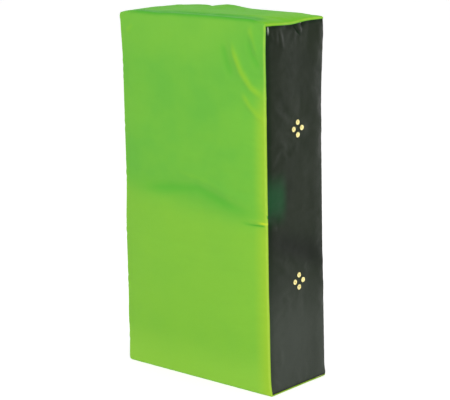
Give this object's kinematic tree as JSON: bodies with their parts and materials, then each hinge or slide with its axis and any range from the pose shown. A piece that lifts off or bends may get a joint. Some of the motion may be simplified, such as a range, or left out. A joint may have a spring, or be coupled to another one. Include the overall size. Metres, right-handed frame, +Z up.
{
  "type": "tackle wedge",
  "caption": "Free-standing foam tackle pad in a sewn two-colour cover, with side vents, a zipped back and two swinging arm grips.",
  "frame": {"origin": "centre of the flat base, on the surface that the pad stands on", "axes": "+Z up; -Y out of the struck front face; +X towards the pad's own right-hand side panel seen from the front"},
  "size_m": [0.4778, 0.289, 0.9308],
  "materials": {
    "green_cover": "semi-matt coated cloth, finely grained",
    "black_cover": "semi-matt coated cloth, finely grained",
    "foam": "open-cell foam",
    "brass": "plated, lightly dulled",
    "webbing": "woven webbing",
    "zip_plastic": "moulded teeth on woven tape",
    "zip_metal": "black enamelled die casting"
  },
  "bodies": {
    "root": {"foam_front": "foam", "foam_core": "foam", "foam_back": "foam", "cover_wrap": "green_cover", "cover_side_right": "black_cover", "cover_side_left": "black_cover", "cover_back_lower": "black_cover", "cover_back_upper": "black_cover", "vent_backing_right_upper": "black_cover", "vent_backing_right_lower": "black_cover", "vent_backing_left_upper": "black_cover", "vent_backing_left_lower": "black_cover", "vent_right_upper_1": "brass", "vent_right_upper_2": "brass", "vent_right_upper_3": "brass", "vent_right_upper_4": "brass", "vent_right_lower_1": "brass", "vent_right_lower_2": "brass", "vent_right_lower_3": "brass", "vent_right_lower_4": "brass", "vent_left_upper_1": "brass", "vent_left_upper_2": "brass", "vent_left_upper_3": "brass", "vent_left_upper_4": "brass", "vent_left_lower_1": "brass", "vent_left_lower_2": "brass", "vent_left_lower_3": "brass", "vent_left_lower_4": "brass", "zip_stringer_upper": "zip_plastic", "zip_stringer_lower": "zip_plastic", "zip_stop_bottom": "zip_metal", "zip_stop_upper": "zip_metal", "zip_stop_lower": "zip_metal", "strap_right_patch_upper": "black_cover", "strap_right_patch_lower": "black_cover", "strap_right_tab_upper": "webbing", "strap_right_tab_lower": "webbing", "strap_left_patch_upper": "black_cover", "strap_left_patch_lower": "black_cover", "strap_left_tab_upper": "webbing", "strap_left_tab_lower": "webbing"},
    "strap_right": {"strap_right_loop": "webbing", "strap_right_grip_foam": "foam", "strap_right_grip_sleeve": "black_cover"},
    "strap_left": {"strap_left_loop": "webbing", "strap_left_grip_foam": "foam", "strap_left_grip_sleeve": "black_cover"},
    "zip_slider": {"zip_slider": "zip_metal"},
    "zip_pull": {"zip_pull": "zip_metal"}
  },
  "joints": [
    {"name": "strap_right_swing", "type": "hinge", "parent": "root", "child": "strap_right", "pos_m": [0.115, 0.1237, 0.56], "axis": [0, 0, 1], "range_deg": [-60, 60]},
    {"name": "strap_left_swing", "type": "hinge", "parent": "root", "child": "strap_left", "pos_m": [-0.115, 0.1237, 0.56], "axis": [0, 0, 1], "range_deg": [-60, 60]},
    {"name": "zip_travel", "type": "slide", "parent": "root", "child": "zip_slider", "axis": [1, 0, 0], "range_m": [-0.358, 0], "deforming": ["zip_stringer_upper", "zip_stringer_lower"]},
    {"name": "zip_pull_flip", "type": "hinge", "parent": "zip_slider", "child": "zip_pull", "pos_m": [0.1818, 0.10953, 0.075], "axis": [0, 0, -1], "range_deg": [0, 165]}
  ]
}
